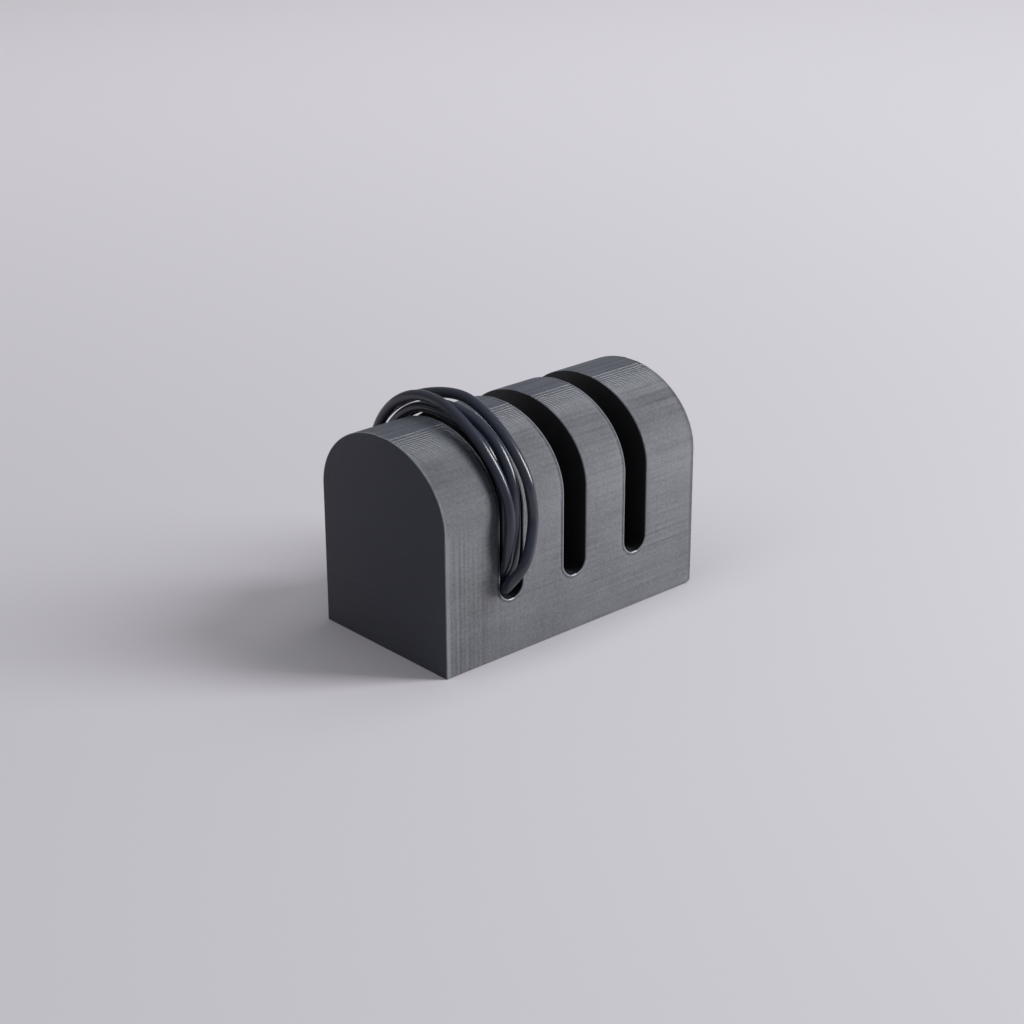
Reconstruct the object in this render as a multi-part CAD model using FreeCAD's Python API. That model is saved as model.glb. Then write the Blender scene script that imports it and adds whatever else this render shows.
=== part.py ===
import FreeCAD, Part
import math
import os

# A desk cable organizer: a printed block with three slots, and a short cable kept in the first slot.
# Millimetres. X runs along the block, Y across it, Z up from the desk, from the middle of the base.

V = FreeCAD.Vector

# The block
block_length = 100.0
block_width = 55.0
wall_height = 44.0
crown_rise = 22.2
end_edge_chamfer = 0.4

# The slots, which go through the block from face to face and are open at the top
slot_count = 3
slot_pitch = 25.0
slot_width = 8.6
floor_thickness = 17.8

# The cable and its coil
cable_diameter = 3.2
coil_clearance = 0.3
coil_layers = 2
front_bulge = 10.1
rear_bulge = 11.4
top_bulge = 7.9
front_tuck = 4.1
rear_tuck = 0.5
top_tuck = 0.6
coil_low_waist = 42.0
coil_high_waist = 47.0
flat_run = 21.0
desk_clearance = 0.05

# The slim plug, on the end that leaves the slot low down
slim_grip_length = 20.0
slim_grip_width = 11.0
slim_grip_height = 6.0
slim_shell_length = 6.6
slim_shell_width = 8.3
slim_shell_height = 2.5
slim_shell_wall = 0.5

# The wide plug, on the end that comes down behind the block
wide_grip_length = 26.0
wide_grip_width = 16.0
wide_grip_height = 8.0
wide_shell_length = 12.0
wide_shell_width = 12.0
wide_shell_height = 4.5
wide_shell_wall = 0.4
wide_tongue_height = 1.9
wide_window = 2.2
wide_window_spacing = 5.5
wide_window_setback = 5.2

# Both plugs
relief_length = 8.0
relief_wall = 0.9
grip_edge_round = 1.6
shell_seat = 2.0

# Where the cable's ends run outside the coil. X is from the middle of the coil's slot and Y from the
# block's rear face. The heights are shares of the height at which each end leaves the coil.
slim_tail_seat = 35.0
slim_tail_inside = [(-10.0, 1.0)]
slim_tail_outside = [(2.4, 6.8, 1.0)]
slim_plug_start = (25.6, 13.0)
slim_plug_turn = -3.0

wide_tail_route = [(2.7, 9.8, 1.01), (1.0, 10.5, 0.43)]
wide_plug_start = (28.0, 29.6)
wide_plug_turn = -4.0
plug_approach = 14.0
arc_share = 0.45

# Sizes that follow from the ones above
block_top = wall_height + crown_rise
slot_end_radius = slot_width / 2
slot_centres = [slot_pitch * (i - (slot_count - 1) / 2) for i in range(slot_count)]
slot_low_z = floor_thickness + slot_end_radius
coil_slot_x = slot_centres[0]
cable_radius = cable_diameter / 2
tolerance = end_edge_chamfer / 10


def ellipse_quarter(centre, side, top):
    """A quarter of an ellipse about its centre, between a point beside it and a point above or below
    it."""
    across, up = side.distanceToPoint(centre), top.distanceToPoint(centre)
    long_end, short_end = (side, top) if across >= up else (top, side)
    ellipse = Part.Ellipse(long_end, short_end, centre)
    return Part.ArcOfEllipse(ellipse, 0, math.pi / 2).toShape()


def line(start, end):
    return Part.LineSegment(start, end).toShape()


def face_of(edges):
    return Part.Face(Part.Wire(edges))


def block_section(x):
    """The block seen from its end: a flat base, upright walls and a half-ellipse crown."""
    half = block_width / 2
    foot_front, foot_rear = V(x, -half, 0), V(x, half, 0)
    spring_front, spring_rear = V(x, -half, wall_height), V(x, half, wall_height)
    centre, top = V(x, 0, wall_height), V(x, 0, block_top)
    return face_of(
        [
            line(foot_rear, foot_front),
            line(foot_front, spring_front),
            ellipse_quarter(centre, spring_front, top),
            ellipse_quarter(centre, spring_rear, top),
            line(spring_rear, foot_rear),
        ]
    )


def slot_channel(centre_x, clearance, reach):
    """The space of one slot, made smaller by a clearance: a round-bottomed channel along Y."""
    radius = slot_end_radius - clearance
    top_z = block_top + top_bulge + slot_width
    low_left = V(centre_x - radius, -reach, slot_low_z)
    low_right = V(centre_x + radius, -reach, slot_low_z)
    high_left = V(centre_x - radius, -reach, top_z)
    high_right = V(centre_x + radius, -reach, top_z)
    bottom = V(centre_x, -reach, slot_low_z - radius)
    profile = face_of(
        [
            Part.Arc(low_left, bottom, low_right).toShape(),
            line(low_right, high_right),
            line(high_right, high_left),
            line(high_left, low_left),
        ]
    )
    return profile.extrude(V(0, 2 * reach, 0))


def end_edges(solid):
    """The edges round both end faces, without the ones on the desk."""
    found = []
    for edge in solid.Edges:
        box = edge.BoundBox
        at_end = min(abs(box.XMin), abs(box.XMax)) > block_length / 2 - tolerance
        on_desk = box.ZMax < tolerance
        if at_end and box.XLength < tolerance and not on_desk:
            found.append(edge)
    return found


def make_organizer_body():
    """One printed block: the section run along X, its end edges eased, and the slots cut."""
    body = block_section(-block_length / 2).extrude(V(block_length, 0, 0))
    body = body.makeChamfer(end_edge_chamfer, end_edges(body))
    for centre_x in slot_centres:
        body = body.cut(slot_channel(centre_x, 0, block_width))
    return body


def ring_outline(x, front, rear, floor, top, flat):
    """A closed loop in the plane of the slot: flat on the slot's floor, round the corner and
    upright past each face, and over the top in a wider arch."""
    low_front, low_rear = V(x, -flat, floor), V(x, flat, floor)
    foot_front, foot_rear = V(x, -front, coil_low_waist), V(x, rear, coil_low_waist)
    spring_front, spring_rear = V(x, -front, coil_high_waist), V(x, rear, coil_high_waist)
    crown_centre, crest = V(x, 0, coil_high_waist), V(x, 0, top)
    return face_of(
        [
            line(low_rear, low_front),
            ellipse_quarter(V(x, -flat, coil_low_waist), foot_front, low_front),
            line(foot_front, spring_front),
            ellipse_quarter(crown_centre, spring_front, crest),
            ellipse_quarter(crown_centre, spring_rear, crest),
            line(spring_rear, foot_rear),
            ellipse_quarter(V(x, flat, coil_low_waist), foot_rear, low_rear),
        ]
    )


def make_cable_coil():
    """The outer shape of the coil: a flat ring as wide as the slot leaves room for."""
    half = block_width / 2
    floor = floor_thickness + coil_clearance
    floor_inside = floor + coil_layers * cable_diameter + coil_clearance
    top, top_inside = block_top + top_bulge, block_top - top_tuck
    x = coil_slot_x - slot_width
    outer = ring_outline(x, half + front_bulge, half + rear_bulge, floor, top, flat_run)
    inner = ring_outline(
        x, half - front_tuck, half - rear_tuck, floor_inside, top_inside, flat_run - cable_diameter
    )
    ring = outer.cut(inner).extrude(V(2 * slot_width, 0, 0))
    return ring.common(slot_channel(coil_slot_x, coil_clearance, block_width))


def rounded_path(name, points):
    """Straight runs joined by tangent arcs. Each arc takes arc_share of the shorter run beside it, so
    its radius is that length over the tangent of half the turn."""
    edges = []
    radii = []
    start = points[0]
    for before, here, after in zip(points, points[1:], points[2:]):
        arriving, leaving = here - before, after - here
        turn = arriving.getAngle(leaving)
        reach = arc_share * min(arriving.Length, leaving.Length)
        radii.append(reach / math.tan(turn / 2))
        back, ahead = V(arriving).normalize(), V(leaving).normalize()
        arc_start, arc_end = here - back * reach, here + ahead * reach
        middle = (ahead - back).normalize()
        sagitta = radii[-1] * (1 / math.cos(turn / 2) - 1)
        edges.append(line(start, arc_start))
        edges.append(Part.Arc(arc_start, here + middle * sagitta, arc_end).toShape())
        start = arc_end
    edges.append(line(start, points[-1]))
    print(name, "arc radii", [round(r, 1) for r in radii])
    return Part.Wire(edges)


def make_tail(name, route, coil):
    """A stretch of the cable outside the coil, cut off where it meets the coil's solid."""
    path = rounded_path(name, route)
    direction = route[1] - route[0]
    disc = Part.Face(Part.Wire(Part.makeCircle(cable_radius, route[0], direction)))
    tube = Part.Wire(path).makePipeShell([disc.OuterWire], True, False)
    section_volume = math.pi * cable_radius**2 * path.Length
    print(name, "length", round(path.Length, 1), "volume ratio", round(tube.Volume / section_volume, 4))
    outside = tube.cut(coil)
    return max(outside.Solids, key=lambda s: s.Volume)


def rounded_bar(x, length, width, height, middle_z, radius):
    """A bar along X with its four long edges rounded."""
    bar = Part.makeBox(length, width, height, V(x, -width / 2, middle_z - height / 2))
    long_edges = [e for e in bar.Edges if e.BoundBox.XLength > length / 2]
    return bar.makeFillet(min(radius, height / 2 - tolerance / 2), long_edges)


def make_grip(length, width, height, shell_blank):
    """The moulded part of a plug: a tapered relief round the cable, then the part that is held."""
    middle = height / 2
    relief = Part.makeCone(
        cable_radius + relief_wall, middle, relief_length, V(0, 0, middle), V(1, 0, 0)
    )
    hold = rounded_bar(relief_length, length, width, height, middle, grip_edge_round)
    return hold.fuse(relief).removeSplitter().cut(shell_blank)


def make_slim_plug():
    """A flat oval metal shell, open at its front, seated in a moulded grip."""
    middle = slim_grip_height / 2
    shell_start = relief_length + slim_grip_length - shell_seat
    full_length = slim_shell_length + shell_seat
    blank = rounded_bar(
        shell_start, full_length, slim_shell_width, slim_shell_height, middle, slim_shell_height / 2
    )
    pocket = rounded_bar(
        shell_start + shell_seat,
        full_length,
        slim_shell_width - 2 * slim_shell_wall,
        slim_shell_height - 2 * slim_shell_wall,
        middle,
        slim_shell_height / 2,
    )
    grip = make_grip(slim_grip_length, slim_grip_width, slim_grip_height, blank)
    return {"slim_plug_grip": grip, "slim_plug_shell": blank.cut(pocket)}


def make_wide_plug():
    """A square metal shell with two windows in each broad wall, and its contact block inside."""
    middle = wide_grip_height / 2
    shell_start = relief_length + wide_grip_length - shell_seat
    full_length = wide_shell_length + shell_seat
    blank = Part.makeBox(
        full_length,
        wide_shell_width,
        wide_shell_height,
        V(shell_start, -wide_shell_width / 2, middle - wide_shell_height / 2),
    )
    inner_width = wide_shell_width - 2 * wide_shell_wall
    inner_height = wide_shell_height - 2 * wide_shell_wall
    hollow_low = V(shell_start, -inner_width / 2, middle - inner_height / 2)
    shell = blank.cut(Part.makeBox(full_length, inner_width, inner_height, hollow_low))
    window_x = shell_start + full_length - wide_window_setback
    for side in (-1, 1):
        window_y = side * wide_window_spacing / 2 - wide_window / 2
        corner = V(window_x - wide_window / 2, window_y, 0)
        shell = shell.cut(Part.makeBox(wide_window, wide_window, wide_grip_height, corner))
    tongue = Part.makeBox(full_length, inner_width, wide_tongue_height, hollow_low)
    grip = make_grip(wide_grip_length, wide_grip_width, wide_grip_height, blank)
    return {"wide_plug_grip": grip, "wide_plug_shell": shell, "wide_plug_tongue": tongue}


def placed(pieces, end, turn):
    """A plug's pieces, made along X from the origin, turned about Z and set down at the cable's end."""
    frame = FreeCAD.Placement(V(end.x, end.y, 0), FreeCAD.Rotation(V(0, 0, 1), turn))
    return {name: solid.transformed(frame.toMatrix()) for name, solid in pieces.items()}


def behind_block(x, y, z):
    """A point from its place beside the coil's slot and behind the rear face, kept off the desk."""
    lowest = cable_radius + desk_clearance
    return V(coil_slot_x + x, block_width / 2 + y, max(z, lowest))


def route_to_plug(points, plug_x, plug_y, turn, grip_height):
    """The route's points, then a straight run into the back of the plug."""
    back = V(plug_x, plug_y, grip_height / 2)
    along = V(math.cos(math.radians(turn)), math.sin(math.radians(turn)), 0)
    return points + [back - along * plug_approach, back]


def slim_tail_points():
    """Along the slot's round floor, out at the rear and down to the desk."""
    seat = slot_end_radius - 2 * coil_clearance - cable_radius
    x = seat * math.sin(math.radians(slim_tail_seat))
    z = slot_low_z - seat * math.cos(math.radians(slim_tail_seat))
    inside = [behind_block(x, y, z * share) for y, share in slim_tail_inside]
    return inside + [behind_block(x, y, z * share) for x, y, share in slim_tail_outside]


def wide_tail_points():
    """Down from the back of the coil to the desk."""
    return [behind_block(x, y, coil_high_waist * share) for x, y, share in wide_tail_route]


def make_all():
    nodes = {"organizer_body": make_organizer_body()}
    coil = make_cable_coil()
    nodes["cable_coil"] = coil
    slim_end = behind_block(*slim_plug_start, 0)
    wide_end = behind_block(*wide_plug_start, 0)
    slim_route = route_to_plug(
        slim_tail_points(), slim_end.x, slim_end.y, slim_plug_turn, slim_grip_height
    )
    wide_route = route_to_plug(
        wide_tail_points(), wide_end.x, wide_end.y, wide_plug_turn, wide_grip_height
    )
    nodes["cable_tail_slim"] = make_tail("cable_tail_slim", slim_route, coil)
    nodes["cable_tail_wide"] = make_tail("cable_tail_wide", wide_route, coil)
    nodes.update(placed(make_slim_plug(), slim_end, slim_plug_turn))
    nodes.update(placed(make_wide_plug(), wide_end, wide_plug_turn))
    return nodes


def main():
    os.makedirs("parts", exist_ok=True)
    for name, shape in make_all().items():
        solid = shape.Solids[0] if len(shape.Solids) == 1 else shape
        box = solid.BoundBox
        print(
            name,
            "solids", len(shape.Solids),
            "valid", solid.isValid(),
            "volume", round(solid.Volume, 1),
            "x %.2f..%.2f y %.2f..%.2f z %.2f..%.2f"
            % (box.XMin, box.XMax, box.YMin, box.YMax, box.ZMin, box.ZMax),
        )
        solid.exportStep("parts/" + name + ".step")


main()
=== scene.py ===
# %% [markdown]
# # A desk cable organizer with a cable wound in its first slot
#
# The real object is a block that was printed in one piece, layer by layer, with an arched top and
# three slots. A thin cable is wound through the slot nearest the viewer and hangs out past both
# faces. The solid model gives every piece its place. This file gives each one its true surface and
# finish, and sets up the picture. All lengths are in metres, and the origin is the middle of the
# block's base, with X along the block, Y towards its rear and Z up.

# %% Load the frame and keep its size
import math

import bmesh
import bpy
import numpy as np
from mathutils import Matrix, Vector


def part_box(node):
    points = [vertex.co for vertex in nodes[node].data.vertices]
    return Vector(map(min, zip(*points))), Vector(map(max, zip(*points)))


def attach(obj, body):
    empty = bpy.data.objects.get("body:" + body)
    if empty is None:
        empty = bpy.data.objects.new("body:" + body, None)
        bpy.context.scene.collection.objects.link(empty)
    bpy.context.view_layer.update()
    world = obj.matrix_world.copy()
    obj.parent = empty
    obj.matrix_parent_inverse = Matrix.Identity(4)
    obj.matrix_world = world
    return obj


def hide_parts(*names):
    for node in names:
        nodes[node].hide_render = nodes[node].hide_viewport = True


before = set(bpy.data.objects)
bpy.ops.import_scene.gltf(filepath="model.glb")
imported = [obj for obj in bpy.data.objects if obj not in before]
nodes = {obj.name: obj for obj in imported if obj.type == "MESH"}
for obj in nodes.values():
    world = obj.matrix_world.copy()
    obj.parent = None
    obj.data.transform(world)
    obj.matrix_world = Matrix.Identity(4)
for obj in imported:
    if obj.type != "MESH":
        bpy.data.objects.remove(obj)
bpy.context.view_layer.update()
print("nodes:", sorted(nodes))

# %% [markdown]
# ## Millimetres
#
# The sizes of a small printed object are read in millimetres, so the values below are written that
# way and multiplied once. Where the solid model already knows a size, it is taken from there.

# %% Sizes of the block and the cable
MM = 0.001
block_low, block_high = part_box("organizer_body")
HALF_LENGTH = block_high.x
HALF_WIDTH = block_high.y
BLOCK_TOP = block_high.z
WALL_HEIGHT = 44.0 * MM
SLOT_PITCH = 25.0 * MM
SLOT_RADIUS = 4.3 * MM
SLOT_CENTRE_Z = 22.1 * MM
SLOT_CENTRES = [-SLOT_PITCH, 0.0, SLOT_PITCH]
CABLE_RADIUS = 1.6 * MM
print("block", round(2 * HALF_LENGTH, 4), round(2 * HALF_WIDTH, 4), round(BLOCK_TOP, 4))

# %% [markdown]
# ## The camera
#
# The camera comes first, because everything after it is compared with the photograph. Its place was
# worked out from the block's corners: it stands about 0.67 m away, looks down at 22.7 degrees and
# sees the block from its front left corner. A camera is turned by a matrix whose columns are its
# own right, up and back directions, so the angles are turned into those three.

# %% Camera
CAMERA_AZIMUTH = math.radians(-42.069)
CAMERA_ELEVATION = math.radians(22.721)
CAMERA_ROLL = math.radians(-0.214)
CAMERA_DISTANCE = 672.9 * MM
CAMERA_TARGET = Vector((0.0, 0.0, 29.2 * MM))
CAMERA_LENS = 78.43


def make_camera():
    """Place = target + distance times the back direction. Right and up are then turned by the
    roll about that direction."""
    data = bpy.data.cameras.new("camera")
    data.lens, data.sensor_width = CAMERA_LENS, 36.0
    data.clip_start, data.clip_end = 0.01, 20.0
    camera = bpy.data.objects.new("camera", data)
    bpy.context.scene.collection.objects.link(camera)
    flat = math.cos(CAMERA_ELEVATION)
    back = Vector(
        (
            math.sin(CAMERA_AZIMUTH) * flat,
            -math.cos(CAMERA_AZIMUTH) * flat,
            math.sin(CAMERA_ELEVATION),
        )
    )
    right = Vector((math.cos(CAMERA_AZIMUTH), math.sin(CAMERA_AZIMUTH), 0.0))
    up = back.cross(right)
    cosine, sine = math.cos(CAMERA_ROLL), math.sin(CAMERA_ROLL)
    rolled_right = right * cosine + up * sine
    rolled_up = up * cosine - right * sine
    turn = Matrix((rolled_right, rolled_up, back)).transposed().to_4x4()
    camera.matrix_world = Matrix.Translation(CAMERA_TARGET + back * CAMERA_DISTANCE) @ turn
    bpy.context.scene.camera = camera
    return camera


camera = make_camera()
print("camera at", [round(v, 4) for v in camera.matrix_world.translation])

# %% [markdown]
# ## Shader maths as Python
#
# A finish is a formula: a layer line is a wave of the height, a streak is noise that is stretched
# along the block. Blender writes formulas as nodes, which are hard to read in a script. The small
# class below wraps one socket and lets Python's own operators add the Math nodes, so the finishes
# further down read as formulas. Colours go through Mix nodes, because a Math node would turn them
# grey.


# %% A socket that can be used in formulas
class Signal:
    """One output socket in a material, used as a number in a formula."""

    def __init__(self, recipe, socket):
        self.recipe, self.socket = recipe, socket

    def maths(self, operation, *values):
        return self.recipe.node("Math", {"operation": operation}, {}, [self, *values])

    def __add__(self, other):
        return self.maths("ADD", other)

    def __radd__(self, other):
        return self.maths("ADD", other)

    def __sub__(self, other):
        return self.maths("SUBTRACT", other)

    def __rsub__(self, other):
        return self.recipe.node("Math", {"operation": "SUBTRACT"}, {}, [other, self])

    def __mul__(self, other):
        return self.maths("MULTIPLY", other)

    def __rmul__(self, other):
        return self.maths("MULTIPLY", other)

    def __truediv__(self, other):
        return self.maths("DIVIDE", other)

    def __neg__(self):
        return self.maths("MULTIPLY", -1.0)

    def sine(self):
        return self.maths("SINE")

    def size(self):
        return self.maths("ABSOLUTE")

    def root(self):
        return self.maths("SQRT")

    def repeated(self, period):
        return self.maths("FLOORED_MODULO", period)

    def least(self, other):
        return self.maths("MINIMUM", other)

    def most(self, other):
        return self.maths("MAXIMUM", other)

    def between(self, low, high):
        """0 up to low, 1 from high, and a smooth ramp in between. It also runs downwards when low
        is the larger of the two."""
        falls = low > high
        ends = {"From Min": high, "From Max": low} if falls else {"From Min": low, "From Max": high}
        goal = {"To Min": 1.0, "To Max": 0.0} if falls else {"To Min": 0.0, "To Max": 1.0}
        settings = {"interpolation_type": "SMOOTHSTEP"}
        return self.recipe.node("MapRange", settings, {"Value": self, **ends, **goal})

    def near(self, centre, reach):
        """1 at the centre, and 0 beyond the reach on both sides of it."""
        return (self - centre).size().between(reach, 0.0)


# %% [markdown]
# A recipe is one material. Its `node` method makes any node at all: first the node's settings, such
# as a Math node's operation, and then the values or links of its sockets, by name or in order.


# %% A material written as a recipe
class Recipe:
    """A material and the few calls that its formula needs."""

    def __init__(self, name):
        self.material = bpy.data.materials.new(name)
        self.material.use_nodes = True
        self.tree = self.material.node_tree
        self.shader = self.tree.nodes["Principled BSDF"]

    def connect(self, socket, value):
        if isinstance(value, Signal):
            self.tree.links.new(value.socket, socket)
        else:
            socket.default_value = value

    def node(self, kind, settings=None, named=None, ordered=(), output=0):
        """Any shader node. The result is one of its outputs, as a signal."""
        made = self.tree.nodes.new("ShaderNode" + kind)
        for setting, value in (settings or {}).items():
            setattr(made, setting, value)
        for socket, value in (named or {}).items():
            self.connect(made.inputs[socket], value)
        for socket, value in zip(made.inputs, ordered):
            self.connect(socket, value)
        return Signal(self, made.outputs[output])

    def place(self):
        """The point's own X, Y and Z in millimetres, as three signals."""
        point = self.node("TexCoord", output="Object")
        parts = self.node("SeparateXYZ", named={"Vector": point})
        return [Signal(self, socket) / MM for socket in parts.socket.node.outputs]

    def facing(self):
        """The direction that the surface faces, as three signals."""
        normal = self.node("TexCoord", output="Normal")
        parts = self.node("SeparateXYZ", named={"Vector": normal})
        return [Signal(self, socket) for socket in parts.socket.node.outputs]

    def point(self, x, y, z):
        return self.node("CombineXYZ", ordered=[x, y, z])

    def noise(self, vector, scale=1.0, detail=2.0, roughness=0.5):
        """Smooth noise from 0 to 1, about the same on average everywhere."""
        values = {"Vector": vector, "Scale": scale, "Detail": detail, "Roughness": roughness}
        return self.node("TexNoise", named=values)

    def blend(self, factor, first, second):
        """One colour turning into another."""
        settings = {"data_type": "RGBA", "blend_type": "MIX"}
        mixed = self.node("Mix", settings, {"Factor": factor})
        inputs = mixed.socket.node.inputs
        self.connect(inputs[6], first)
        self.connect(inputs[7], second)
        return Signal(self, mixed.socket.node.outputs[2])

    def scaled(self, colour, amount):
        """A colour made lighter or darker: its three values times the amount."""
        values = colour if isinstance(colour, Signal) else colour[:3]
        return self.node("VectorMath", {"operation": "SCALE"}, {"Vector": values, "Scale": amount})

    def bump(self, height, depth):
        """Small relief: the height signal from 0 to 1 stands for a depth in metres."""
        return self.node("Bump", named={"Height": height, "Distance": depth, "Strength": 1.0})

    def finish(self, **sockets):
        """Set the surface's own sockets. A name's underscores stand for spaces."""
        for name, value in sockets.items():
            self.connect(self.shader.inputs[name.replace("_", " ")], value)
        return self.material


def rgb(red, green, blue):
    """A colour as it looks on a screen, from 0 to 255, as the linear values that Blender uses."""
    screen = np.array([red, green, blue]) / 255.0
    linear = np.where(screen <= 0.04045, screen / 12.92, ((screen + 0.055) / 1.055) ** 2.4)
    return (*linear.tolist(), 1.0)


# %% [markdown]
# ## The cable's route
#
# The real cable is one piece: from one plug it goes up into the slot, runs round the block four
# times and comes down behind it to the other plug. Each turn is described by four stations: on the
# slot's floor, in front of the block, over its top and behind it. Between two stations the cable
# follows a quarter of a rounded box, whose power says how full the corner is: 2 is an ellipse and
# more is squarer. The two outermost turns bulge sideways over the lobes, where their shadows show
# how far they stand out, so their front ways are given point by point. The turns were placed strand
# by strand against the photograph, and keep a cable's thickness from each other. A smooth curve
# through these points is the cable's own line.

# %% Stations of the four turns, in millimetres: (x, y, z) and the power or the points before it
THIRD_RISE = [
    (-27.3, -14.7, 24.1),
    (-27.6, -19.9, 23.4),
    (-27.6, -23.0, 24.2),
    (-27.5, -24.9, 25.3),
    (-27.4, -26.7, 26.5),
    (-28.0, -28.8, 29.6),
    (-28.7, -30.3, 36.0),
]
THIRD_CLIMB = [
    (-28.0, -29.3, 50.1),
    (-28.9, -26.1, 57.2),
    (-29.2, -20.0, 63.7),
    (-29.0, -11.6, 68.7),
    (-28.5, -2.9, 71.6),
]
LAST_RISE = [
    (-26.8, -15.6, 20.5),
    (-26.2, -22.9, 19.5),
    (-27.9, -28.0, 21.3),
    (-28.9, -31.3, 25.4),
    (-26.3, -34.5, 29.9),
    (-23.1, -33.5, 35.9),
    (-19.8, -31.2, 42.7),
]
TURNS = [
    [
        ((-23.6, 0.0, 19.8), 2.0),
        ((-24.8, -28.8, 45.8), 4.2),
        ((-22.9, 1.3, 68.6), 2.2),
        ((-23.2, 32.8, 46.0), 1.6),
    ],
    [
        ((-23.1, 0.0, 23.4), 3.9),
        ((-26.4, -25.9, 43.8), 4.7),
        ((-26.2, 5.9, 67.6), 2.6),
        ((-26.7, 29.2, 42.7), 1.8),
    ],
    [
        ((-26.6, 0.0, 23.1), 2.8),
        ((-28.4, -31.1, 43.3), THIRD_RISE),
        ((-27.6, 5.2, 71.5), THIRD_CLIMB),
        ((-26.5, 33.1, 44.8), 1.8),
    ],
    [
        ((-26.6, 0.0, 19.9), 3.3),
        ((-21.2, -31.3, 51.2), LAST_RISE),
        ((-18.6, -0.3, 70.9), 1.5),
        ((-23.3, 35.4, 50.0), 1.8),
    ],
]
SLIM_END = [(0.6, 40.5, 3.0), (-13.4, 41.2, 3.0), (-23.2, 35.5, 20.8), (-23.8, 17.5, 20.4)]
WIDE_END = [(-24.0, 38.0, 20.2), (-11.0, 58.1, 4.0), (3.0, 57.1, 4.0)]
POINTS_PER_QUARTER = 12


# %% One quarter of a turn, and the whole route
def quarter(start, goal, power, starts_level):
    """Points of a quarter of a rounded box: the distance along one axis grows as the sine, and along
    the other as one minus the cosine, of an angle from 0 to 90 degrees, both to the power of two
    over the corner's power. X slides over smoothly."""
    share = np.arange(POINTS_PER_QUARTER) / POINTS_PER_QUARTER
    angle = share * math.pi / 2
    rise, fall = np.sin(angle) ** (2 / power), np.cos(angle) ** (2 / power)
    (x0, y0, z0), (x1, y1, z1) = start, goal
    x = x0 + (x1 - x0) * share * share * (3 - 2 * share)
    if starts_level:
        y, z = y0 + (y1 - y0) * rise, z1 + (z0 - z1) * fall
    else:
        y, z = y1 + (y0 - y1) * fall, z0 + (z1 - z0) * rise
    return np.stack([x, y, z], axis=1)


def cable_route():
    stations = [station for turn in TURNS for station in turn]
    route = [np.array(SLIM_END)]
    for count, (here, there) in enumerate(zip(stations, stations[1:])):
        if isinstance(there[1], list):
            route.append(np.array([here[0], *there[1]]))
        else:
            route.append(quarter(here[0], there[0], there[1], count % 2 == 0))
    route.append(np.array([stations[-1][0]]))
    route.append(np.array(WIDE_END))
    return np.concatenate(route) * MM


def as_stiff_cable(points, spacing, rounds, loose, loose_rounds):
    """The same line with evenly spaced points. In each round every inner point moves to a quarter
    of its two neighbours plus half of itself, which takes out kinks that a cable can't have. The
    loose lengths at both ends get more rounds than the coil, because nothing holds them bent."""
    steps = np.linalg.norm(np.diff(points, axis=0), axis=1)
    along = np.concatenate([[0.0], np.cumsum(steps)])
    even = np.linspace(0.0, along[-1], round(along[-1] / spacing) + 1)
    line = np.stack([np.interp(even, along, points[:, axis]) for axis in range(3)], axis=1)
    from_end = np.minimum(even, even[-1] - even)[1:-1, None]
    in_loose = np.clip((loose - from_end) / (loose / 4), 0, 1)
    for count in range(rounds + loose_rounds):
        share = 1.0 if count < rounds else in_loose
        line[1:-1] += share * (line[:-2] - 2 * line[1:-1] + line[2:]) / 4
    return line


route = as_stiff_cable(cable_route(), 2.0 * MM, rounds=3, loose=60.0 * MM, loose_rounds=20)
print("cable route:", len(route), "points")

# %% [markdown]
# A curve object with a round bevel is a cable by nature: the spline is its core, and the bevel is
# its jacket. The spline ends exactly at its first and last points, which lie in the plugs.


# %% The cable
def make_cable(points):
    """A round bevel of 1 that every point scales by its own radius, which is the cable's."""
    data = bpy.data.curves.new("cable", "CURVE")
    data.dimensions = "3D"
    data.bevel_depth = 1.0
    data.bevel_resolution = 7
    data.resolution_u = 4
    spline = data.splines.new("NURBS")
    spline.points.add(len(points) - 1)
    flat = np.hstack([points, np.ones((len(points), 1))])
    spline.points.foreach_set("co", flat.ravel())
    spline.points.foreach_set("radius", np.full(len(points), CABLE_RADIUS))
    spline.order_u = 3
    spline.use_endpoint_u = True
    cable = bpy.data.objects.new("cable", data)
    bpy.context.scene.collection.objects.link(cable)
    return cable


cable = make_cable(route)
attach(cable, "root")
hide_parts("cable_coil", "cable_tail_slim", "cable_tail_wide")
print("cable made")

# %% [markdown]
# ## The cable's jacket
#
# A charging cable's jacket is smooth, soft plastic, nearly black with a blue cast. It is glossy
# enough for a narrow bright line along each strand, and that line is a little soft, so the
# roughness is in between.


# %% Cable jacket
def jacket_finish():
    recipe = Recipe("cable_jacket")
    x, y, z = recipe.place()
    grain = recipe.noise(recipe.point(x, y, z), scale=1.6, detail=3.0)
    return recipe.finish(
        Base_Color=rgb(38, 42, 54),
        Roughness=0.24 + 0.02 * grain,
        Specular_IOR_Level=0.6,
        Normal=recipe.bump(grain, 0.005 * MM),
    )


cable.data.materials.append(jacket_finish())


# %% [markdown]
# ## The printed block, layer by layer
#
# The real block was drawn by a nozzle in level layers of 0.2 mm. Each layer bulges a little and
# leaves a fine groove above and below it. On the crown every layer is also a little narrower than
# the one below, so its edge shows as a terrace, broad at the top and ever finer down the sides. A
# smooth arch with painted lines would shine like a tube. So the mesh is built as the printer builds
# it: an outline for each height, and a band of faces between neighbouring outlines. Above the slots'
# floor the block is four lobes, and below it one piece.

# %% Sizes of the print
LAYER = 0.2 * MM
FLOOR_Z = SLOT_CENTRE_Z - SLOT_RADIUS
CROWN_RISE = BLOCK_TOP - WALL_HEIGHT
GROOVE = 0.034 * MM
FACE_INSET = 0.03 * MM
CORNER_ROUND = 0.45 * MM
CORNER_STEPS = 3
FOOT_INSET = 0.15 * MM
print("layers:", round(BLOCK_TOP / LAYER))


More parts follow.
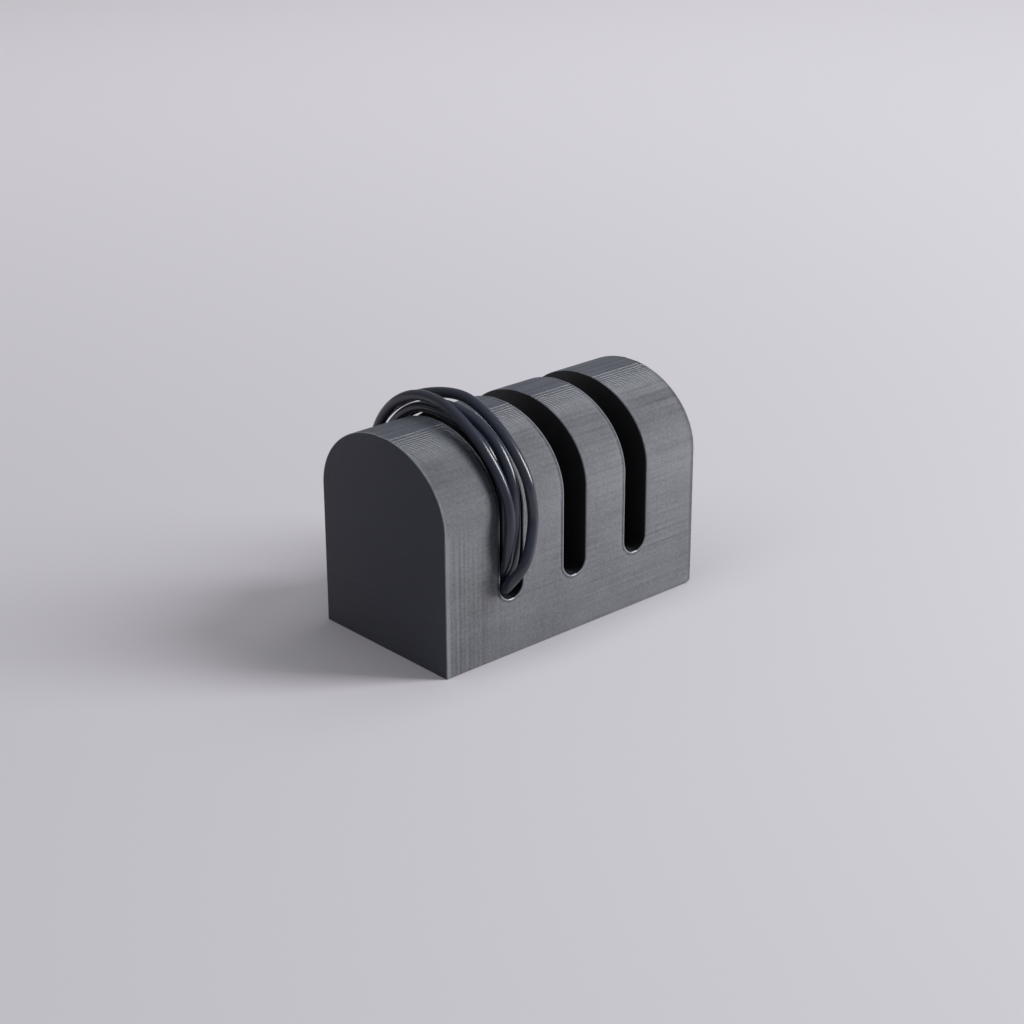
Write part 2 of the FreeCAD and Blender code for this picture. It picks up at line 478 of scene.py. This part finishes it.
# %% Outlines
def half_width(z):
    """Half of the block's width at a height: constant on the walls, then a half ellipse, that is
    the half width times the root of one minus the squared share of the crown's rise."""
    share = min(max((z - WALL_HEIGHT) / CROWN_RISE, 0.0), 1.0)
    return HALF_WIDTH * math.sqrt(1.0 - share * share)


def half_slot(z):
    """Half of a slot's width at a height: the root of the squared radius minus the squared depth
    under the centre of the round floor, and the radius itself above that centre."""
    depth = max(SLOT_CENTRE_Z - z, 0.0)
    return math.sqrt(SLOT_RADIUS**2 - depth * depth)


def lobe_front(left, right, half):
    """The front half of one lobe's outline, from left to right, as (x, y) rows. Each end is a
    quarter circle. Beside it the outline swells to a fine rim, dips behind the rim, and goes on
    straight along the face."""
    turn = np.linspace(0.0, math.pi / 2, CORNER_STEPS + 1)
    corner = np.stack([1 - np.cos(turn), 1 - np.sin(turn)], axis=1) * CORNER_ROUND
    steps = np.array([(0.35, 0.0), (0.7, 0.06), (1.2, 0.03)]) * MM
    end = np.concatenate([corner, steps + (CORNER_ROUND, 0.0)])
    return np.concatenate([end + (left, -half), end[::-1] * (-1, 1) + (right, -half)])


def all_fronts(width_z, slot_z, inset):
    """The front halves of the four lobes for one height of the crown and of the slots. The inset
    draws the outline in on every side."""
    half, slot = half_width(width_z) - inset, half_slot(slot_z) + inset
    lefts = [inset - HALF_LENGTH] + [centre + slot for centre in SLOT_CENTRES]
    rights = [centre - slot for centre in SLOT_CENTRES] + [HALF_LENGTH - inset]
    return [lobe_front(left, right, half) for left, right in zip(lefts, rights)]


def ring(front, z):
    """A closed outline: its front half from left to right, then the mirrored half back again."""
    flat = np.concatenate([front, front[::-1] * (1.0, -1.0)])
    return np.column_stack([flat, np.full(len(flat), z)])


FRONT_POINTS = len(lobe_front(0.0, 20.0 * MM, HALF_WIDTH))
print("points in one lobe's ring:", 2 * FRONT_POINTS)

# %% [markdown]
# A layer starts at a groove, swells to its full outline at half its height, and draws in again to
# the next groove. On the crown the next layer's groove lies further in, which leaves a level tread.
# Every real layer is a few thousandths of a millimetre off, so each gets a random inset of its own.


# %% The rings of a stack of layers
random = np.random.default_rng(7)
LAYER_INSETS = random.uniform(0.0, 0.004, round(BLOCK_TOP / LAYER)) * MM


def layer_heights(count, on_wall):
    """Height and inset of a layer's rings. On a wall the next layer closes it with its groove. On
    the crown and in the round floor it also has a groove of its own at the top, under the tread."""
    low, inset = count * LAYER, LAYER_INSETS[count]
    rings = [(low, inset + GROOVE), (low + LAYER / 2, inset)]
    return rings if on_wall else rings + [(low + LAYER, inset + GROOVE)]


def lobe_rings(lobe, first_layer, last_layer):
    """All rings of one lobe. A layer keeps one outline, that of its middle height in the slots'
    round floor and that of its underside on the crown."""
    rings = []
    for count in range(first_layer, last_layer):
        on_wall = SLOT_CENTRE_Z < count * LAYER < WALL_HEIGHT
        for z, inset in layer_heights(count, on_wall):
            fronts = all_fronts(count * LAYER, (count + 0.5) * LAYER, inset)
            rings.append(ring(fronts[lobe], z))
    return np.array(rings)


# %% Faces
def band_faces(ring_count, points):
    """Faces between neighbouring rings: a point, its neighbour, and the two above them."""
    lower = np.arange(ring_count - 1)[:, None] * points
    here = np.arange(points)[None, :]
    there = (here + 1) % points
    faces = [lower + here, lower + there, lower + points + there, lower + points + here]
    return np.stack(faces, axis=-1).reshape(-1, 4)


def strip_faces(start, points):
    """Upward faces across one ring, from each front point to its mirror image."""
    i = np.arange(points // 2 - 1)
    last = start + points - 1
    return np.stack([start + i, start + i + 1, last - i - 1, last - i], axis=1)


# %% The lobes and the block under them
def make_lobe(lobe):
    first, last = round(FLOOR_Z / LAYER), round(BLOCK_TOP / LAYER)
    rings = lobe_rings(lobe, first, last)
    rings[0] = ring(all_fronts(FLOOR_Z, FLOOR_Z + LAYER / 2, 0.0)[lobe], FLOOR_Z)
    points = rings.shape[1]
    top = strip_faces((len(rings) - 1) * points, points)
    return rings.reshape(-1, 3), np.concatenate([band_faces(len(rings), points), top])


def curled(rings):
    """The lowest layers have curled off the print bed at the far end, less and less up the wall."""
    from_end = np.clip(1 - (HALF_LENGTH - rings[..., 0]) / (3.0 * MM), 0.0, 1.0)
    share = np.clip(1 - rings[..., 2] / (5.0 * MM), 0.0, 1.0)
    rings[..., 2] += 0.9 * MM * from_end**2 * share
    return rings


def make_lower_block():
    """The four fronts as one outline. Under the slots' floor the dents at their mouths fade by the
    rule of a quarter circle, and the foot is drawn in a little."""
    rings = [ring(np.concatenate(all_fronts(0.0, FLOOR_Z + LAYER / 2, 0.0)), FLOOR_Z)]
    for count in range(round(FLOOR_Z / LAYER) - 1, 0, -1):
        for z, inset in reversed(layer_heights(count, True)):
            front = np.concatenate(all_fronts(0.0, FLOOR_Z + LAYER / 2, inset))
            slots = np.abs(front[:, 0]) < HALF_LENGTH - 2 * CORNER_ROUND
            share = min((FLOOR_Z - z) / CORNER_ROUND, 1.0)
            fade = 1 - math.sqrt(1 - (1 - share) ** 2)
            dent = front[:, 1] + HALF_WIDTH - inset
            flat = dent * fade + FACE_INSET * (1 - fade)
            front[:, 1] = np.where(slots, flat, dent) + inset - HALF_WIDTH
            rings.append(ring(front, z))
    foot = rings[-1] * (1 - FOOT_INSET / HALF_LENGTH, 1 - FOOT_INSET / HALF_WIDTH, 0.0)
    rings = curled(np.array([*rings, foot][::-1]))
    points = rings.shape[1]
    bottom = strip_faces(0, points)[:, ::-1]
    return rings.reshape(-1, 3), np.concatenate([band_faces(len(rings), points), bottom])


def floor_strips(points):
    """The lowest strip of each slot's floor, between the facing walls of two lobes. The numbers
    are a lobe's number and a point's number in its ring."""
    half = points // 2
    corners = [(0, half - 1), (1, 0), (1, points - 1), (0, half)]
    return [[(lobe + step, point) for step, point in corners] for lobe in range(len(SLOT_CENTRES))]


# %% One closed mesh
def merged_mesh(name, vertices, faces, sharp_angle):
    """A mesh object whose touching points are merged, smooth but for its sharp edges."""
    mesh = bpy.data.meshes.new(name)
    mesh.from_pydata(vertices.tolist(), [], faces)
    work = bmesh.new()
    work.from_mesh(mesh)
    bmesh.ops.remove_doubles(work, verts=work.verts, dist=1e-7)
    work.to_mesh(mesh)
    open_edges = sum(len(edge.link_faces) != 2 for edge in work.edges)
    work.free()
    mesh.shade_smooth()
    mesh.set_sharp_from_angle(angle=sharp_angle)
    made = bpy.data.objects.new(name, mesh)
    bpy.context.scene.collection.objects.link(made)
    print(name, len(mesh.vertices), "points,", len(mesh.polygons), "faces")
    print(open_edges, "open edges")
    return made


def make_printed_block():
    parts = [make_lobe(lobe) for lobe in range(len(SLOT_CENTRES) + 1)] + [make_lower_block()]
    starts = np.cumsum([0] + [len(points) for points, _ in parts])
    faces = [corners + start for (_, corners), start in zip(parts, starts)]
    floors = floor_strips(2 * FRONT_POINTS)
    strips = [[int(starts[lobe]) + point for lobe, point in strip] for strip in floors]
    every_face = np.concatenate(faces).tolist() + strips
    points = np.concatenate([points for points, _ in parts])
    return merged_mesh("printed_block", points, every_face, math.radians(31))


block = make_printed_block()
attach(block, "root")
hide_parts("organizer_body")

# %% [markdown]
# ## The printed plastic
#
# The plastic is nearly black: beside the cable, where its shadow falls on the long face, nothing is
# left of the grey. The grey is a sheen, the lamp's broad reflection in thousands of fine beads. So
# the base stays dark, and a rough coat carries the grey. On the long faces and the crown the coat is
# strong. The end faces get no coat and a darker base, and the slots' walls and floors a near black
# one: painted shade. The nozzle also leaves marks that follow its path, which vary the coat's
# weight:
# level streaks where a layer's width changed, and upright bands beside a corner where the machine
# shook. Painted light varies the base and the coat too: a painted highlight along each slot's rim on
# its left and lower side, with a line of painted shade beside it, a painted highlight along the left
# end's edge, painted sheen on the treads, on the risers near the top and where the crown begins, and
# a painted gradient that is lighter towards the right end.

# %% Printed plastic: where each mark and each painted light or shade lies
WALL_TOP = WALL_HEIGHT / MM
BLOCK_END = HALF_LENGTH / MM
BASE = rgb(52, 56, 66)
# The end faces' darker base is painted shade.
SHADED_END_BASE = rgb(40, 43, 54)
# Near black in the slots' walls and floors: painted shade.
PAINTED_SLOT_SHADE = rgb(9, 10, 14)
END_SPECKS = [(-1.2, 65.0), (-9.2, 42.8), (-9.0, 33.8)]


def nearest_slot(x, z):
    """Three signals: the place across the nearest slot, the height over the centre of its round
    floor, which is 0 above it and negative under it, and the distance from its outline, which is the distance from the slot's middle line, or
    from the floor's centre, less the radius."""
    across = (x + 1.5 * SLOT_PITCH / MM).repeated(SLOT_PITCH / MM) - 0.5 * SLOT_PITCH / MM
    under = (z - SLOT_CENTRE_Z / MM).least(0.0)
    distance = (across * across + under * under).root() - SLOT_RADIUS / MM
    return across, under, distance


def slot_edge_painted_light(across, under, distance, on_lobes):
    """Painted light around the slots' mouths, on their left and lower side: a painted highlight
    along the rim, a line of painted shade beside it and a faint painted lighter line beyond.
    """
    left_or_under = (across + under).between(-0.6, -3.0) * on_lobes
    # A painted highlight along the rim, a line of painted shade and a faint painted light beyond.
    rim = distance.between(0.6, 0.35) * (0.9 - 0.4 * under)
    painted_shade_line = distance.near(0.85, 0.55) * -0.45
    faint_painted_light = distance.near(1.8, 0.6) * 0.12
    return (rim + painted_shade_line + faint_painted_light) * left_or_under


def end_edge_light_and_marks(recipe, x, y, z):
    """A painted highlight along the left end's edge, patchy along its length. On the upright face a
    paler band and a darker line follow it, but not on the crown. The right end's edge is dark."""
    from_left = x + BLOCK_END
    upright = z.between(WALL_TOP + 2, WALL_TOP - 3)
    patchy = recipe.noise(recipe.point(x * 0.1, y * 0.7, z * 0.7), detail=2.0).between(0.3, 0.65)
    # Painted highlight along the left end's edge, patchy.
    edge = from_left.between(0.8, 0.4) * (0.3 + 1.0 * patchy)
    band = (from_left.between(2.4, 1.6) * 0.35 - from_left.near(2.9, 0.8) * 0.15) * upright
    return edge + band - (BLOCK_END - x).between(1.7, 0.1) * 0.3


def end_specks(x, y, z):
    """Three grains of dust on the left end face, as (y, z) in millimetres."""
    total = 0
    for speck_y, speck_z in END_SPECKS:
        off_y, off_z = y - speck_y, z - speck_z
        total = (off_y * off_y + off_z * off_z).root().between(0.32, 0.12) + total
    return total * x.between(-49.0, -49.8)


# %% Printed plastic: streaks and painted light
def streaks_and_painted_light(recipe, x, y, z):
    """Noise that is stretched along the layers, and noise that is stretched upwards. The level one
    is strong where a slow noise allows it. The upright one, with the bands of the shaking machine,
    is strong on the wall behind the left corner. Painted light is added as well: a painted gradient
    that is lighter towards the right end, and a painted sheen where the crown begins."""
    level = recipe.noise(recipe.point(x * 0.01, y * 0.01, z * 1.3), detail=3.0) - 0.5
    patches = recipe.noise(recipe.point(x * 0.05, y * 0.05, z * 0.07)).between(0.35, 0.62)
    upright = recipe.noise(recipe.point(x * 0.9, y * 0.05, z * 0.015), detail=2.0) - 0.5
    cloudy = recipe.noise(recipe.point(x * 0.07, y * 0.07, z * 0.1)) - 0.5
    mottled = recipe.noise(recipe.point(x * 1.1, y * 1.1, z * 1.6), detail=2.0, roughness=0.6) - 0.5
    bands = (x * (2 * math.pi / 1.7) + upright * 5.0).sine() * 0.12
    on_wall = z.between(WALL_TOP + 4, WALL_TOP - 8)
    shaken = (x + BLOCK_END).between(26.0, 3.0) * on_wall
    towards_right = x.between(-45.0, 35.0)
    long_streaks = level * (0.12 + 0.45 * patches) * (0.5 + 0.8 * towards_right)
    # Besides real tone, broad holds a painted gradient: darker at the left end, lighter to the
    # right.
    broad = upright * 0.15 + cloudy * 0.4 + mottled * 0.8 + towards_right * 0.08 - 0.08
    # Painted sheen where the crown begins.
    painted_sheen_near_spring = z.near(WALL_TOP + 1, 16.0) * 0.08
    return long_streaks + broad + painted_sheen_near_spring + (upright * 0.7 + bands) * shaken


def print_finish():
    recipe = Recipe("printed_plastic")
    x, y, z = recipe.place()
    facing_x, facing_y, facing_z = recipe.facing()
    long_face = facing_x.size().between(0.88, 0.6)
    across, under, distance = nearest_slot(x, z)
    on_lobes = x.size().between(38.0, 37.0)
    below_crown = z.between(WALL_TOP, WALL_TOP - 10)
    in_slot = distance.between(0.2, 0.08) * on_lobes * below_crown
    outside = long_face * (1 - in_slot)
    tread = facing_z.between(0.5, 0.95)
    # Painted highlight on the risers near the top of the crown.
    top_riser_highlight = z.between(61.0, 65.9) * (1 - tread)
    # Nozzle marks together with the painted light around the slots, along the left end and on the
    # faces.
    marks_and_painted_light = slot_edge_painted_light(across, under, distance, on_lobes) + end_edge_light_and_marks(recipe, x, y, z)
    marks_and_painted_light = marks_and_painted_light + streaks_and_painted_light(recipe, x, y, z)
    drawn = recipe.noise(recipe.point(x * 0.03, y * 1.3, z * 0.1), detail=3.0) - 0.5
    # On the treads, noise of the drawn lines and a painted sheen that lifts them by 0.12.
    light = 1 + marks_and_painted_light + (drawn * 1.5 + 0.12) * tread + 0.8 * top_riser_highlight
    fine = recipe.noise(recipe.point(x * 0.3, y * 0.9, z * 0.1), detail=2.0) - 0.5
    on_end = x.size().between(BLOCK_END - 2, BLOCK_END - 1)
    uneven = 1 + 0.45 * fine + 3.0 * end_specks(x, y, z)
    # Painted shade: a darker colour on the end faces and a near black one in the slots, varied by
    # fine noise and dust.
    painted_shade_with_dust = recipe.scaled(recipe.blend(on_end, PAINTED_SLOT_SHADE, SHADED_END_BASE), uneven)
    return recipe.finish(
        Base_Color=recipe.blend(outside, painted_shade_with_dust, recipe.scaled(BASE, light)),
        Roughness=0.5,
        Specular_IOR_Level=0.7,
        Coat_Weight=(light - 0.4).most(0.0).least(1.0) * outside,
        Coat_Roughness=0.5,
        Coat_IOR=2.05,
    )


def dress(node, material):
    data = nodes[node].data
    data.materials.clear()
    data.materials.append(material)


block.data.materials.append(print_finish())

# %% [markdown]
# ## The plugs
#
# They lie behind the block. The grips are moulded in dark matte plastic, the shells are plated
# steel, and the contact block in the wide one is white.


# %% Plug finishes
def plug_finishes():
    grip = Recipe("plug_grip").finish(Base_Color=rgb(46, 49, 58), Roughness=0.55)
    shell = Recipe("plug_metal").finish(Base_Color=rgb(200, 201, 204), Metallic=1.0, Roughness=0.28)
    insert = Recipe("plug_insert").finish(Base_Color=rgb(232, 232, 228), Roughness=0.45)
    for node in ("slim_plug_grip", "wide_plug_grip"):
        dress(node, grip)
    for node in ("slim_plug_shell", "wide_plug_shell"):
        dress(node, shell)
    dress("wide_plug_tongue", insert)


plug_finishes()

# %% [markdown]
# ## Floor and light
#
# The photograph has one soft key lamp, high on the right of the camera, on pale lilac grey paper
# that fills the frame. The key is a tall, narrow panel: its width makes the shadow's edge soft, and
# its height sets the shadow's length and the length of the glints on the cable. Paper lights a dark
# object from below and all round, which a slim panel overhead and a weak even world stand in for.
# The panel overhead is left out of mirror images, because the cable's glints show the key only.


# %% Floor
def floor_finish():
    """Paper that is lighter further away, most of all behind on the left, where the lamp is far.
    Beyond about 1.1 m, where the lamps no longer reach, it glows for the camera alone, so that a
    view from low down has a pale backdrop too."""
    recipe = Recipe("floor")
    x, y, z = recipe.place()
    behind = x * 0.27 + y * 0.96
    colour = recipe.blend(behind.between(0.0, 1150.0), rgb(171, 169, 175), rgb(218, 216, 222))
    seen = recipe.node("LightPath")
    far = (x * x + y * y).root().between(1100.0, 2400.0) * seen
    glow = recipe.blend(far, rgb(0, 0, 0), rgb(165, 163, 169))
    return recipe.finish(
        Base_Color=colour,
        Emission_Color=glow,
        Emission_Strength=1.0,
        Roughness=0.75,
        Specular_IOR_Level=0.2,
    )


def make_floor():
    half = 6.0
    corners = [(-half, -half, 0), (half, -half, 0), (half, half, 0), (-half, half, 0)]
    mesh = bpy.data.meshes.new("floor")
    mesh.from_pydata(corners, [], [(0, 1, 2, 3)])
    floor = bpy.data.objects.new("floor", mesh)
    bpy.context.scene.collection.objects.link(floor)
    mesh.materials.append(floor_finish())
    return floor


floor = make_floor()


# %% Lamps
def make_lamp(name, direction, distance, width, height, power):
    """A flat rectangle of light that faces the origin."""
    data = bpy.data.lights.new(name, "AREA")
    data.shape, data.size, data.size_y, data.energy = "RECTANGLE", width, height, power
    lamp = bpy.data.objects.new(name, data)
    bpy.context.scene.collection.objects.link(lamp)
    towards = Vector(direction).normalized()
    turn = towards.to_track_quat("Z", "Y").to_matrix().to_4x4()
    lamp.matrix_world = Matrix.Translation(towards * distance) @ turn
    return lamp


def light_world(strength):
    world = bpy.data.worlds.new("world")
    bpy.context.scene.world = world
    world.use_nodes = True
    background = world.node_tree.nodes["Background"]
    background.inputs["Color"].default_value = (1.0, 0.99, 1.02, 1.0)
    background.inputs["Strength"].default_value = strength


make_lamp("key_lamp", (0.72, -0.66, 0.74), distance=1.5, width=0.45, height=1.15, power=30.0)
overhead = make_lamp(
    "overhead_lamp", (0.0, 0.06, 1.0), distance=2.0, width=5.0, height=0.9, power=36.0
)
overhead.visible_glossy = False
light_world(0.2)
bpy.context.scene.view_settings.view_transform = "Standard"
print("lamps:", len(bpy.data.lights))
